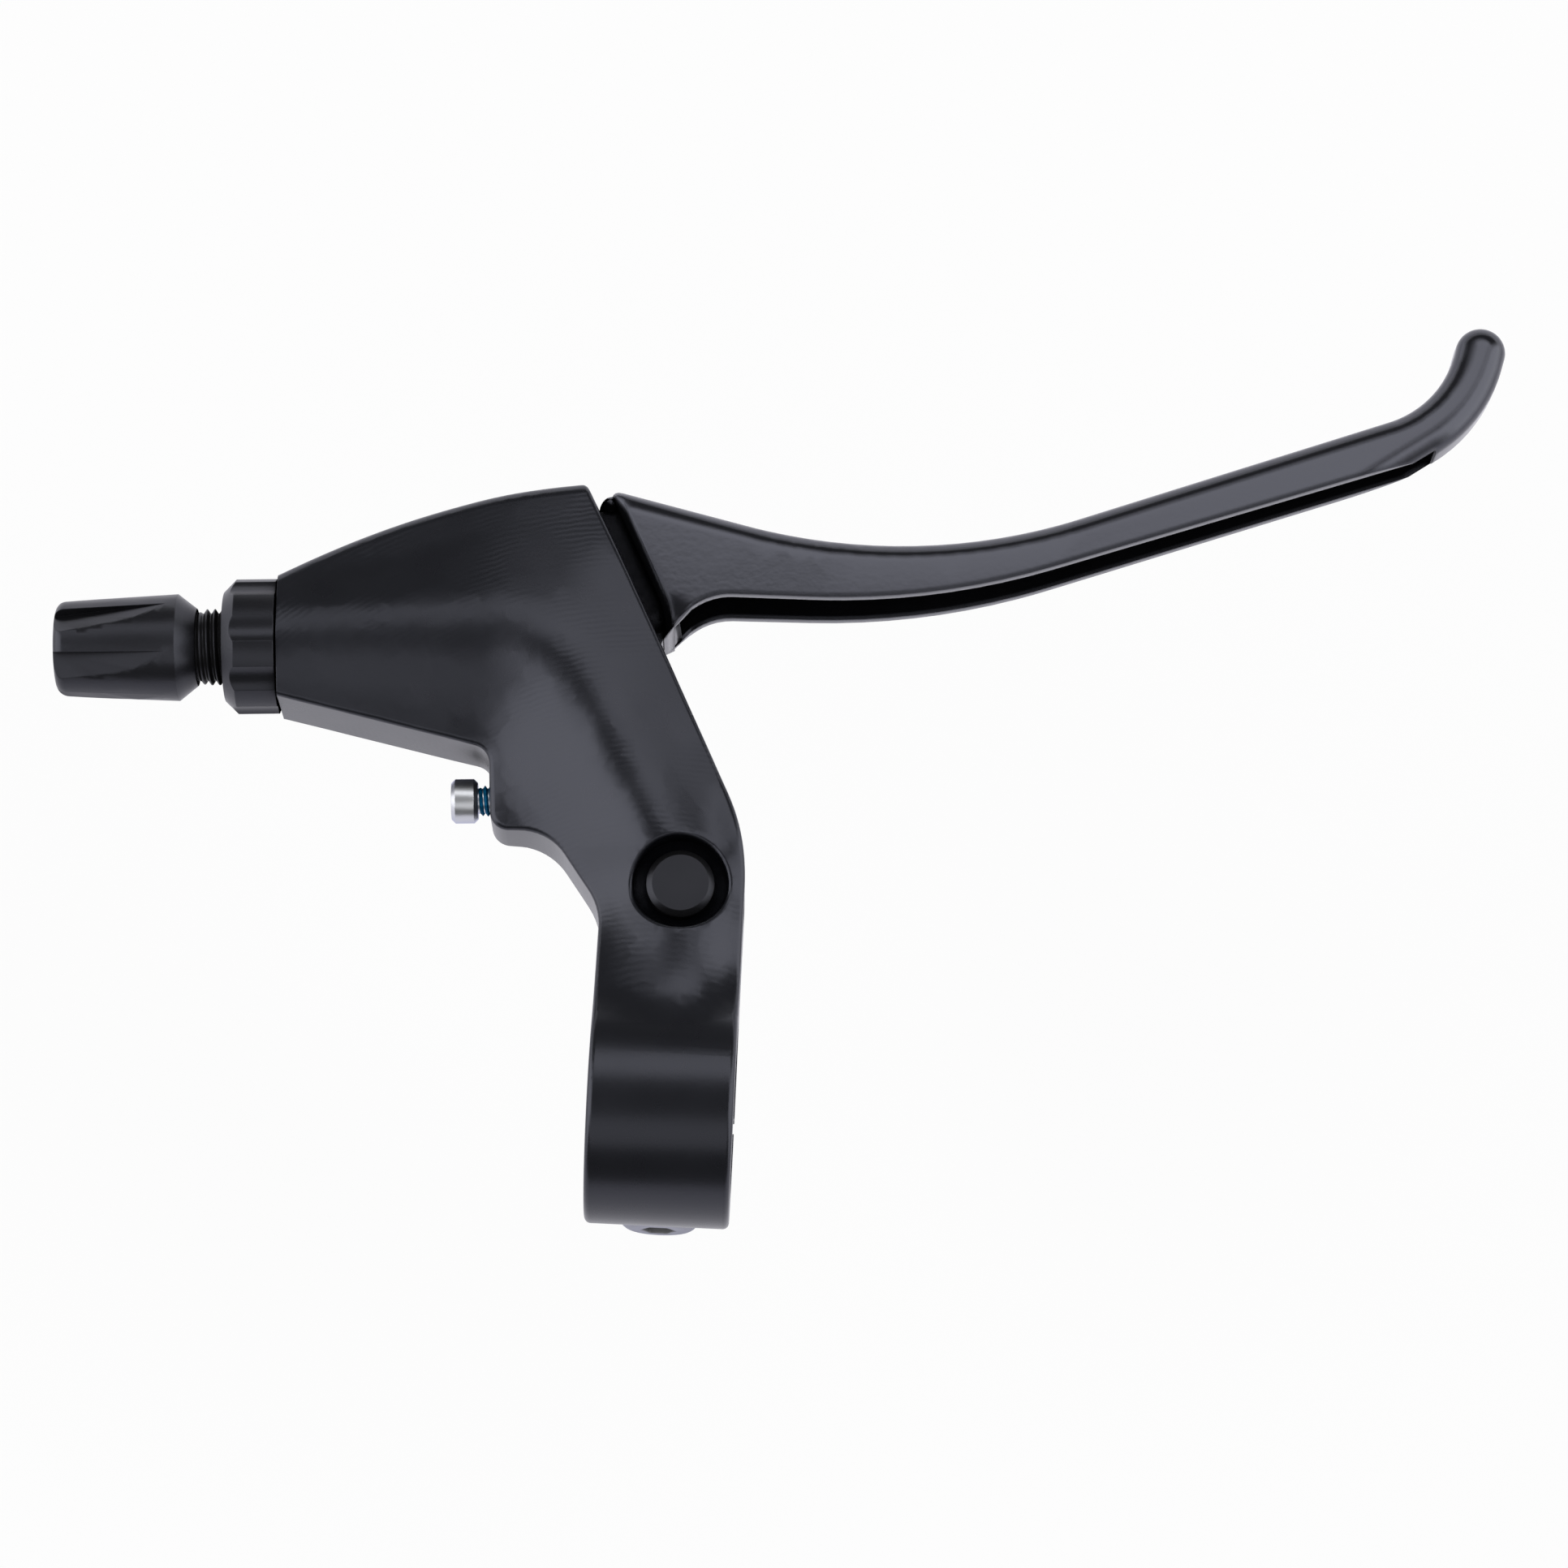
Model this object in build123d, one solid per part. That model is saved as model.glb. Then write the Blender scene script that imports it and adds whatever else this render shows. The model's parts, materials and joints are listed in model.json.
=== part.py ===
from build123d import *
import math
import os

# Bicycle brake lever for a flat handlebar, right hand, in millimetres.
# X runs along the handlebar, Y points forward to the lever, Z is up along the lever's pivot.
# The origin is on the handlebar's axis, in the middle of the clamp.

# Fits
RUNNING = 0.05
PRESSED = 0.02
ROOM = 0.6

# Handlebar clamp
BAR_DIAMETER = 22.2
CLAMP_WALL = 4.0
CLAMP_WIDTH = 18.2
CLAMP_EDGE = 0.8
CLAMP_SLIT = 2.0
LUG_WIDTH = 12.6
SEAT_INSET = 5.5
LUG_LENGTH = 13.0

# Clamp bolt
BOLT_DIAMETER = 6.0
BOLT_HEAD_DIAMETER = 10.5
BOLT_HEAD_HEIGHT = 3.3
BOLT_LENGTH = 20.0
BOLT_HEX = 4.0
BUTTON_ROUND = 0.6
BOLT_COVER = 2.9

# Bracket casting: places are measured from the lever's pivot
PIVOT_X = 1.0
PIVOT_Y = 26.8
ARM_HEIGHT = 11.0
SLANT_ANGLE = 26.3
SLANT_OFFSET = 10.3
RIM = 0.8
FRONT_RIM = 2.2
HOOD_CORNER = 54.5
HOOD_BOW = 2.2
STEP_X = 25.0
STEP_TOP = 17.4
STEP_FOOT = 7.1
STEP_CORNER = 2.4
STEP_LEAN = 0.4
THROAT_X = 17.2
THROAT_RADIUS = 7.5
ARM_RADIUS = 9.0
ARM_NECK = 2.7
BEND_CORNER = 28.0

# Ridge of the casting and the facets on both sides of it
BEND_X = 17.4
BEND_Y = 32.6
BEND_RADIUS = 13.0
NECK_RADIUS = 9.0
CROWN_RADIUS = 20.0
CROWN_STEP = 0.1
RIM_HEIGHT = 4.6
RIM_BLEND = 3.0
RIDGE_SHIFT = 0.9
SKIN_PITCH = 5.0
SKIN_MARGIN = 1.0
ARM_FOOT = 3.0

# Height of the ridge, inner slope, outer slope and softness at the boss, bend, pivot and arm
ROOF = [
    (8.5, 0.38, 0.48, 1.2),
    (ARM_HEIGHT, 0.40, 0.20, 3.0),
    (ARM_HEIGHT, 0.80, 0.35, 3.5),
    (ARM_HEIGHT, 0.40, 0.40, 4.0),
]

# Cable adjuster: the axis meets the bracket's left face
BOSS_X = 53.3
BOSS_Y = 31.2
BOSS_HALF = 8.2
ADJUSTER_ANGLE = 3.6
ADJUSTER_THREAD = 10.0
ADJUSTER_DEPTH = 14.0
ADJUSTER_RELIEF = 2.0
THREAD_SHOWN = 3.6
NUT_GAP = 0.3
NUT_LENGTH = 6.8
NUT_DIAMETER = 17.4
NUT_LOBES = 8
NUT_SCALLOP = 4.2
NUT_DEPTH = 0.55
NUT_BEVEL = 1.6
NECK_LENGTH = 2.4
KNOB_LENGTH = 15.7
KNOB_OUTER_END = 12.2
KNOB_INNER_END = 13.8
KNOB_EDGE = 1.4
KNOB_LIP = 0.6
KNOB_FLUTES = 6
FLUTE_START = 20.0
FLUTE_DEPTH = 1.2
FLUTE_LENGTH = 14.4
CORE_DIAMETER = 9.2
CASING_DIAMETER = 6.1
CASING_DEPTH = 10.0
CABLE_BORE = 2.6

# Reach screw
REACH_Y = 11.9
REACH_DIAMETER = 4.0
REACH_HEAD_DIAMETER = 5.7
REACH_HEAD_LENGTH = 3.4
REACH_SHOWN = 1.6
REACH_HEX = 2.5
REACH_BEVEL = 0.5
REACH_TIP_GAP = 0.3

# Pivot
AXLE_DIAMETER = 6.0
AXLE_HEAD_DIAMETER = 8.6
AXLE_HEAD_HEIGHT = 2.4
AXLE_HEAD_BEVEL = 0.7
SINK_DIAMETER = 11.9
SINK_EDGE = 0.5
EAR_THICKNESS = 3.1
CLIP_THICKNESS = 0.7
CLIP_WIDTH = 2.4
CLIP_DEPTH = 0.5
CLIP_MOUTH = 0.7
CLIP_GAP = 0.1
BUSH_WALL = 1.0
BUSH_GAP = 0.2
FLANGE_DIAMETER = 11.0
FLANGE_THICKNESS = 0.4
SIDE_PLAY = 0.1

# Lever tongue: n across and s along the bracket's slanted face, from the pivot
TONGUE_HALF = 3.6
LEVER_BOSS_RADIUS = 7.5
TONGUE_RIGHT = 9.0
TONGUE_HEEL = 6.4
TONGUE_FRONT = 51.3
TONGUE_CORNER = 1.0
ANCHOR_N = 3.7
ANCHOR_S = 35.9
ANCHOR_DIAMETER = 10.0
ANCHOR_WALL = 1.8
NIPPLE_DIAMETER = 7.2
NIPPLE_FLOOR = 1.2
CABLE_SLIT = 2.2
STROKE = 24.0

# Lever blade
ROOT_GAP = 2.5
ROOT_HALF = 6.25
ROOT_WALL = 2.6
ROOT_BEVEL = 0.8
BLADE_TAPER = 0.0205
BLADE_EDGE = 2.8
TIP_SHARE = 0.45
FRONT_X = -10.4
FRONT_Y = 52.85
FRONT_HEADING = -12.3
FRONT_LENGTH = 16.8
BOW_RADIUS = 75.0
BOW_TURN = 33.5
RUN_LENGTH = 42.8
CURL_RADIUS = 14.0
CURL_TURN = 55.0
TIP_LENGTH = 1.5
BULB = 6.5
BACK_HEADING = 1.0
BACK_LENGTH = 10.0
BACK_RADIUS = 95.0
BACK_TURN = 19.2
BACK_RUN = 48.1
STOCK_TURN = 14.8
HEEL_RADIUS = 8.0
HEEL_TURN = 72.0
WEB = 3.4
FLANGE = 1.5
CHANNEL_ROUND = 3.0
CHANNEL_END = 4.0
CHANNEL_END_ANGLE = 80.0

# Values worked out from the sizes above
BAR_RADIUS = BAR_DIAMETER / 2
RING_RADIUS = BAR_RADIUS + CLAMP_WALL
LUG_SEAT = RING_RADIUS - SEAT_INSET
ARM_HALF = CLAMP_WIDTH / 2
PIVOT = Vector(PIVOT_X, PIVOT_Y)
SLOT_HALF = TONGUE_HALF + FLANGE_THICKNESS + SIDE_PLAY
EAR_FACE = SLOT_HALF + EAR_THICKNESS
ROOT_LINE = SLANT_OFFSET + ROOT_GAP
TONGUE_LEFT = ANCHOR_N - ANCHOR_DIAMETER / 2 - ANCHOR_WALL
BUSH_RADIUS = AXLE_DIAMETER / 2 + RUNNING + BUSH_WALL
BOLT_Z = -(BAR_RADIUS + BOLT_COVER + BOLT_DIAMETER / 2)
NUT_OUTER = -NUT_GAP - NUT_LENGTH
NECK_INNER = NUT_OUTER - THREAD_SHOWN
KNOB_INNER = NECK_INNER - NECK_LENGTH
KNOB_OUTER = KNOB_INNER - KNOB_LENGTH
RUN_HEADING = FRONT_HEADING + BOW_TURN
BACK_RUN_HEADING = BACK_HEADING + BACK_TURN
FAR = 200.0
STANDING = (Align.CENTER, Align.CENTER, Align.MIN)
HANGING = (Align.CENTER, Align.CENTER, Align.MAX)


def across(n, s):
    """Point at n across and s along the slanted face, both from the pivot."""
    turn = math.radians(SLANT_ANGLE)
    return PIVOT + Vector(n * math.cos(turn) - s * math.sin(turn), n * math.sin(turn) + s * math.cos(turn))


def heading(degrees):
    """Unit direction in the plan, by its angle from X."""
    return Vector(math.cos(math.radians(degrees)), math.sin(math.radians(degrees)))


def plan(points):
    """Flat face inside a closed run of corners."""
    return make_face(Polyline(*points, close=True))


def both_ways(face, half):
    """Plate of a plan face, to the same height above and below it."""
    return extrude(face, amount=half, both=True)


def mirrored(part):
    """The part and its twin below the plane of the handlebar's axis."""
    return part + mirror(part, about=Plane.XY)


# Axes that several pieces share
BOSS = PIVOT + Vector(-BOSS_X, BOSS_Y)
CABLE_WAY = heading(ADJUSTER_ANGLE)
CABLE_SIDE = heading(ADJUSTER_ANGLE + 90)
ADJUSTER = Plane(origin=BOSS, x_dir=(0, 0, 1), z_dir=CABLE_WAY)
REACH = Plane(origin=PIVOT + Vector(-STEP_X, REACH_Y), x_dir=(0, 0, 1), z_dir=CABLE_WAY)
CLAMP_AXIS = Plane(origin=(0, -LUG_SEAT, BOLT_Z), x_dir=(1, 0, 0), z_dir=(0, 1, 0))
ANCHOR = across(ANCHOR_N, ANCHOR_S)


# Bracket

def bracket_corners():
    """Corners of the plan of arm and hood, from the clamp round to the hood's front corner."""
    turn = math.radians(SLANT_ANGLE)
    bend = across(SLANT_OFFSET, (SLANT_OFFSET * math.cos(turn) + PIVOT_X - ARM_HALF) / math.sin(turn))
    return {
        "boss_top": BOSS + CABLE_SIDE * BOSS_HALF,
        "boss_low": BOSS - CABLE_SIDE * BOSS_HALF,
        "step_top": PIVOT + Vector(-STEP_X - STEP_LEAN, STEP_TOP),
        "step_foot": PIVOT + Vector(-STEP_X + STEP_LEAN, STEP_FOOT),
        "throat": PIVOT + Vector(-THROAT_X, STEP_FOOT),
        "neck": Vector(-ARM_HALF, PIVOT_Y - ARM_NECK),
        "foot_left": Vector(-ARM_HALF, ARM_FOOT),
        "foot_right": Vector(ARM_HALF, ARM_FOOT),
        "bend": bend,
        "hood": across(SLANT_OFFSET, HOOD_CORNER),
    }


def bracket_plan():
    """Plan of arm and hood with its rounded corners."""
    corners = bracket_corners()
    chord = corners["hood"] - corners["boss_top"]
    middle = corners["boss_top"] + chord / 2 + chord.normalized().rotate(Axis.Z, 90) * HOOD_BOW
    front = ThreePointArc(corners["hood"], middle, corners["boss_top"])
    face = make_face([front, Polyline(*corners.values())])
    rounds = {"step_top": STEP_CORNER, "step_foot": STEP_CORNER, "throat": THROAT_RADIUS, "neck": ARM_RADIUS,
              "bend": BEND_CORNER}
    for name, radius in rounds.items():
        face = fillet(face.vertices().sort_by_distance(corners[name])[0], radius)
    return face


def ridge_line():
    """Ridge of the casting in plan: along the boss, round the bend to the pivot and down the arm."""
    start = BOSS + CABLE_SIDE * RIDGE_SHIFT - CABLE_WAY * ADJUSTER_THREAD
    bend = PIVOT + Vector(-BEND_X, BEND_Y)
    return FilletPolyline(start, bend, PIVOT, (0, -RING_RADIUS), radius=[BEND_RADIUS, NECK_RADIUS])


def roof_section(along, stations):
    """Ridge height, two slopes and softness at a share of the ridge's length."""
    if along <= stations[0]:
        return ROOF[0]
    for low, high, before, after in zip(stations, stations[1:], ROOF, ROOF[1:]):
        if along <= high:
            share = (along - low) / (high - low)
            return [a + (b - a) * share for a, b in zip(before, after)]
    return ROOF[-1]


def roof_height(x, y, ridge, stations):
    """Height of the casting's upper skin: a soft roof about the ridge that runs up into the clamp ring."""
    here = Vector(x, y)
    distance, foot, _ = ridge.distance_to_with_closest_points(here)
    along = ridge.param_at_point(foot)
    crown, inner, outer, soft = roof_section(along, stations)
    slope = outer if ridge.tangent_at(along).cross(here - foot).Z > 0 else inner
    roof = crown - slope * (math.hypot(distance, soft) - soft)
    return into_ring(y, soft_max(roof, RIM_HEIGHT))


def soft_max(one, other):
    """The larger of two heights, with a round hollow where they meet."""
    overlap = max(RIM_BLEND - abs(one - other), 0)
    return max(one, other) + overlap ** 2 / (4 * RIM_BLEND)


def into_ring(y, height):
    """Height of the skin where it runs through a round hollow up to the clamp ring."""
    ring = RING_RADIUS - CROWN_STEP
    reach = math.sqrt((ring + CROWN_RADIUS) ** 2 - (height + CROWN_RADIUS) ** 2)
    if y >= reach:
        return height
    if y <= reach * ring / (ring + CROWN_RADIUS):
        return math.sqrt(ring ** 2 - y ** 2)
    return height + CROWN_RADIUS - math.sqrt(CROWN_RADIUS ** 2 - (reach - y) ** 2)


def spaced(low, high):
    """Evenly spaced places from just outside one limit to just outside the other."""
    span = high - low + 2 * SKIN_MARGIN
    steps = math.ceil(span / SKIN_PITCH)
    return [low - SKIN_MARGIN + span * step / steps for step in range(steps + 1)]


def under_roof(outline):
    """Solid under the casting's upper skin, lofted through sections across the handlebar."""
    ridge = ridge_line()
    marks = [BOSS, PIVOT + Vector(-BEND_X, BEND_Y), PIVOT, Vector(0, RING_RADIUS)]
    stations = [ridge.param_at_point(ridge.closest_points(mark)[0]) for mark in marks]
    box = outline.bounding_box()
    sections = []
    for x in spaced(box.min.X, box.max.X):
        top = Spline(*[(x, y, roof_height(x, y, ridge, stations)) for y in spaced(box.min.Y, box.max.Y)])
        drop = Vector(0, 0, -FAR)
        sections.append(make_face([top, Polyline(top @ 1, top @ 1 + drop, top @ 0 + drop, top @ 0)]))
    return loft(sections)


def rim_edges(half):
    """Upper rim of the casting from back to front; the boss face and the foot stay crisp."""
    skin = half.faces().filter_by(GeomType.BSPLINE).sort_by(SortBy.AREA)[-1]
    crisp = [ADJUSTER, Plane(origin=(0, ARM_FOOT, 0), z_dir=(0, 1, 0))]
    rim = [edge for edge in skin.edges()
           if not any(abs(plane.to_local_coords(edge @ 0.5).Z) < RUNNING for plane in crisp)]
    return ShapeList(rim).sort_by(Axis.Y)


def casting_half():
    """Upper half of arm and hood, with a soft rim that is rounder along the hood's front."""
    outline = bracket_plan()
    half = extrude(outline, amount=2 * ARM_HEIGHT) & under_roof(outline)
    half = fillet(rim_edges(half)[-1], FRONT_RIM)
    return fillet(rim_edges(half)[:-1], RIM)


def clamp():
    """Clamp ring with the two lugs for its bolt, still solid."""
    ring = Rot(0, 90, 0) * Cylinder(RING_RADIUS, CLAMP_WIDTH)
    ring = fillet(ring.edges().filter_by(GeomType.CIRCLE), CLAMP_EDGE)
    neck = Rectangle(LUG_WIDTH, -BOLT_Z, align=(Align.CENTER, Align.MAX))
    section = Circle(LUG_WIDTH / 2) + neck
    lug = extrude(CLAMP_AXIS * section, amount=LUG_SEAT + LUG_LENGTH)
    return ring + lug


def tongue_plan(room):
    """Plan of the lever's tongue and boss, grown by a clearance."""
    inside = ROOT_LINE + ROOT_WALL / 2
    heel = ANCHOR_S - TONGUE_HEEL
    crest = ANCHOR_S + ANCHOR_DIAMETER / 2 + ANCHOR_WALL
    corners = [
        (-LEVER_BOSS_RADIUS, 0), (LEVER_BOSS_RADIUS, 0), (TONGUE_RIGHT, LEVER_BOSS_RADIUS / 2),
        (TONGUE_RIGHT, heel), (ROOT_LINE, heel + ROOT_LINE - TONGUE_RIGHT), (inside, ANCHOR_S),
        (inside, TONGUE_FRONT - TONGUE_CORNER), (TONGUE_RIGHT, TONGUE_FRONT),
        (TONGUE_LEFT + TONGUE_CORNER, crest), (TONGUE_LEFT, ANCHOR_S),
    ]
    face = plan([across(n, s) for n, s in corners]) + Pos(PIVOT) * Circle(LEVER_BOSS_RADIUS)
    return offset(face, amount=room, kind=Kind.ARC) if room else face


def lever_slot():
    """Room for the tongue, open on the slanted face where the lever swings out."""
    mouth = plan([PIVOT, across(FAR, -FAR), across(FAR, TONGUE_FRONT + ROOM),
                  across(TONGUE_RIGHT, TONGUE_FRONT + ROOM)])
    return both_ways(tongue_plan(ROOM) + mouth, SLOT_HALF)


def bracket():
    """Casting with clamp ring, hood, lever slot and every bore."""
    part = mirrored(casting_half()) + clamp()
    part -= Rot(0, 90, 0) * Cylinder(BAR_RADIUS, FAR)
    part -= Pos(0, 0, -BAR_RADIUS / 2) * Box(FAR, CLAMP_SLIT, FAR, align=HANGING)
    part -= CLAMP_AXIS * Cylinder(BOLT_DIAMETER / 2 + RUNNING, FAR)
    part -= lever_slot()
    part -= Pos(PIVOT) * Cylinder(AXLE_DIAMETER / 2 + RUNNING, FAR)
    sink = Pos(PIVOT_X, PIVOT_Y, EAR_FACE) * Cylinder(SINK_DIAMETER / 2, FAR, align=STANDING)
    part -= sink + mirror(sink, about=Plane.XY)
    part -= ADJUSTER * Cylinder(ADJUSTER_THREAD / 2, 2 * (ADJUSTER_DEPTH + ADJUSTER_RELIEF))
    part -= ADJUSTER * Cylinder(CABLE_BORE / 2, (ANCHOR - BOSS).length, align=STANDING)
    part -= REACH * Cylinder(REACH_DIAMETER / 2 + RUNNING, 2 * (reach_depth() + ROOM))
    return fillet(sink_rims(part), SINK_EDGE)


def sink_rims(part):
    """Edges where the pivot's two counterbores come out of the casting's skin."""
    rims = []
    for edge in part.edges().filter_by(Axis.Z, reverse=True):
        middle = edge @ 0.5
        reach = (Vector(middle.X, middle.Y) - PIVOT).length
        if abs(reach - SINK_DIAMETER / 2) < RUNNING and abs(middle.Z) > EAR_FACE + RUNNING:
            rims.append(edge)
    return rims


def reach_depth():
    """Way from the bracket's step to the tongue, along the side of the reach screw that meets it first."""
    low = across(-LEVER_BOSS_RADIUS, 0)
    flank = across(TONGUE_LEFT, ANCHOR_S) - low
    sides = [REACH.origin + CABLE_SIDE * REACH_DIAMETER / 2, REACH.origin - CABLE_SIDE * REACH_DIAMETER / 2]
    return min((low - side).cross(flank).Z / CABLE_WAY.cross(flank).Z for side in sides)


# Lever

def front_edge(inset, lead):
    """Front edge of the blade, moved inwards: root line, long bow, straight run and upturned tip."""
    way = heading(FRONT_HEADING)
    start = PIVOT + Vector(FRONT_X, FRONT_Y) + heading(FRONT_HEADING - 90) * inset
    root = Line(start - way * lead, start + way * FRONT_LENGTH)
    bow = JernArc(root @ 1, way, BOW_RADIUS + inset, BOW_TURN)
    run = Line(bow @ 1, bow @ 1 + (bow % 1) * RUN_LENGTH)
    curl = JernArc(run @ 1, run % 1, CURL_RADIUS + inset, CURL_TURN)
    return [root, bow, run, curl]


def back_edge():
    """Back edge of the blade, set out from the tip's curl: flat, long bow and straight run."""
    curl = front_edge(0, 0)[-1]
    run_end = curl.arc_center + heading(BACK_RUN_HEADING - 90) * (CURL_RADIUS + BULB)
    bow_end = run_end - heading(BACK_RUN_HEADING) * BACK_RUN
    centre = bow_end + heading(BACK_RUN_HEADING + 90) * BACK_RADIUS
    bow_start = centre + heading(BACK_HEADING - 90) * BACK_RADIUS
    way = heading(BACK_HEADING)
    flat = Line(bow_start - way * BACK_LENGTH, bow_start)
    bow = JernArc(bow_start, way, BACK_RADIUS, BACK_TURN)
    return [flat, bow, Line(bow_end, run_end)]


def blade_blank():
    """Blade with rounded edges, still with spare metal at the back and at the root."""
    spare = 2 * BLADE_EDGE
    front = front_edge(0, spare + ROOT_GAP)
    flat, bow, run = back_edge()
    lead = JernArc(run @ 1, run % 1, CURL_RADIUS + BULB, STOCK_TURN)
    turn_left = RUN_HEADING + CURL_TURN - BACK_RUN_HEADING - STOCK_TURN
    outer = JernArc(lead @ 1, lead % 1, CURL_RADIUS + BULB, turn_left)
    inner_tip = Line(front[-1] @ 1, front[-1] @ 1 + (front[-1] % 1) * TIP_LENGTH)
    outer_tip = Line(outer @ 1, outer @ 1 + (outer % 1) * TIP_LENGTH)
    cap = TangentArc(inner_tip @ 1, outer_tip @ 1, tangent=inner_tip % 1)
    stock = Line(lead @ 1, lead @ 1 - (lead % 1) * 3 * spare)
    kept = front + [inner_tip, cap, outer_tip, outer, stock]
    drop = Vector(0, -spare)
    rest = Polyline(stock @ 1, bow @ 1 + drop, bow @ 0 + drop, flat @ 0 + drop - (flat % 0) * 4 * spare,
                    front[0] @ 0)
    blank = both_ways(make_face(kept + [rest]), 2 * ROOT_HALF) & blade_wedge(0)
    kept = Wire(kept)
    edges = [edge for edge in blank.edges().filter_by(Axis.Z, reverse=True)
             if kept.distance_to(Vector((edge @ 0.5).X, (edge @ 0.5).Y, 0)) < RUNNING]
    return fillet(edges, min(BLADE_EDGE, BULB * TIP_SHARE))


def blade_wedge(inset):
    """Side view of the blade, thinner towards the tip, moved inwards."""
    ends = [-FAR / 2, FAR]
    heights = [ROOT_HALF - inset - BLADE_TAPER * (x - PIVOT_X) for x in ends]
    top = [(x, height) for x, height in zip(ends, heights)]
    low = [(x, -height) for x, height in reversed(top)]
    return extrude(Plane.XZ * plan(top + low), amount=FAR, both=True)


def behind_blade():
    """Metal that is taken off behind the blade's back edge and round its heel."""
    flat, bow, run = back_edge()
    heel = JernArc(flat @ 0, (flat % 0) * -1, HEEL_RADIUS, HEEL_TURN)
    tail = Line(heel @ 1, heel @ 1 + (heel % 1) * FAR / 4)
    past = Line(run @ 1, run @ 1 + (run % 1) * FAR / 4)
    rest = Polyline(tail @ 1, past @ 1 + Vector(0, -FAR), past @ 1)
    return both_ways(make_face([tail, heel, flat, bow, run, past, rest]), FAR)


def channel():
    """Hollow behind the front web, open at the back."""
    root, bow, run, _ = front_edge(WEB, 4 * BLADE_EDGE)
    end = Line(run @ 1, run @ 1 + (run % 1) * CHANNEL_END)
    down = end @ 1 + heading(RUN_HEADING - CHANNEL_END_ANGLE) * FAR / 4
    rest = Polyline(end @ 1, down, root @ 0 + Vector(0, -FAR / 4), root @ 0)
    face = make_face([root, bow, run, end, rest])
    face = fillet(face.vertices().sort_by_distance(end @ 1)[0], CHANNEL_ROUND)
    return both_ways(face, FAR) & blade_wedge(FLANGE) - bracket_side(ROOT_LINE + ROOT_WALL)


def bracket_side(n):
    """Everything on the bracket's side of a plane along the slanted face."""
    return both_ways(plan([across(n, 0), across(n, FAR), across(-FAR, FAR), across(-FAR, 0)]), FAR)


def root_bevel():
    """Metal that is taken off the upper edge of the blade's root."""
    corner = across(ROOT_LINE + ROOT_BEVEL, 0) + Vector(0, 0, ROOT_HALF)
    outward = Vector(0, 0, 1) - heading(SLANT_ANGLE)
    return Plane(origin=corner, z_dir=outward) * Box(FAR, FAR, FAR, align=STANDING)


def lever_blade():
    """One casting: channelled blade, tongue, pivot boss and the seat of the cable's anchor."""
    blade = blade_blank() - bracket_side(ROOT_LINE) - behind_blade() - channel() - mirrored(root_bevel())
    part = blade + both_ways(tongue_plan(0), TONGUE_HALF)
    part -= Pos(PIVOT) * Cylinder(BUSH_RADIUS + PRESSED, FAR)
    part -= Pos(ANCHOR) * Cylinder(ANCHOR_DIAMETER / 2 + RUNNING, FAR)
    return part - cable_slit(STROKE)


def cable_slit(stroke):
    """Slit from the anchor's middle towards the adjuster, as wide as the cable swings over a stroke."""
    upper = ANCHOR + CABLE_SIDE * CABLE_SLIT / 2
    lower = ANCHOR + heading(ADJUSTER_ANGLE + stroke - 90) * CABLE_SLIT / 2
    swung = heading(ADJUSTER_ANGLE + stroke) * ANCHOR_DIAMETER
    return both_ways(plan([upper, upper - CABLE_WAY * ANCHOR_DIAMETER, lower - swung, lower]), FAR)


def cable_anchor():
    """Drum that turns in the tongue and takes the cable's barrel end from above."""
    part = Pos(ANCHOR) * Cylinder(ANCHOR_DIAMETER / 2, 2 * TONGUE_HALF)
    part -= Pos(ANCHOR.X, ANCHOR.Y, NIPPLE_FLOOR - TONGUE_HALF) * Cylinder(
        NIPPLE_DIAMETER / 2, FAR, align=STANDING)
    return part - cable_slit(0)


# Pivot

def pivot_axle():
    """Headed pin with a bevelled head and a groove for its clip."""
    radius = AXLE_DIAMETER / 2
    head = Pos(0, 0, EAR_FACE) * Cylinder(AXLE_HEAD_DIAMETER / 2, AXLE_HEAD_HEIGHT, align=STANDING)
    head = chamfer(head.edges().sort_by(Axis.Z)[-1], AXLE_HEAD_BEVEL)
    end = -EAR_FACE - CLIP_THICKNESS - AXLE_HEAD_BEVEL - 2 * CLIP_GAP
    pin = Pos(0, 0, end) * Cylinder(radius, EAR_FACE - end, align=STANDING)
    pin -= clip_groove() - Cylinder(radius - CLIP_DEPTH, FAR)
    return Pos(PIVOT) * (head + pin)


def clip_groove():
    """Space of the clip's groove round the axle."""
    low = -EAR_FACE - CLIP_THICKNESS - 2 * CLIP_GAP
    return Pos(0, 0, low) * Cylinder(AXLE_DIAMETER, CLIP_THICKNESS + CLIP_GAP, align=STANDING)


def retaining_ring():
    """Open clip in the axle's groove, under the lower ear."""
    inner = AXLE_DIAMETER / 2 - CLIP_DEPTH + RUNNING
    ring = Circle(inner + CLIP_WIDTH) - Circle(inner)
    ring -= Rectangle(2 * inner * CLIP_MOUTH, FAR, align=(Align.CENTER, Align.MAX))
    low = -EAR_FACE - CLIP_THICKNESS - CLIP_GAP
    return Pos(PIVOT_X, PIVOT_Y, low) * extrude(ring, amount=CLIP_THICKNESS)


def flanged_bush():
    """Upper plain bearing of the lever: half the boss long, its flange against the ear."""
    tube = Cylinder(BUSH_RADIUS, TONGUE_HALF - BUSH_GAP, align=STANDING)
    flange = Cylinder(FLANGE_DIAMETER / 2, FLANGE_THICKNESS, align=STANDING)
    part = Pos(0, 0, BUSH_GAP) * tube + Pos(0, 0, TONGUE_HALF) * flange
    return Pos(PIVOT) * (part - Cylinder(AXLE_DIAMETER / 2 + RUNNING, FAR))


# Cable adjuster, along its own axis: zero at the bracket's face, negative outwards

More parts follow.
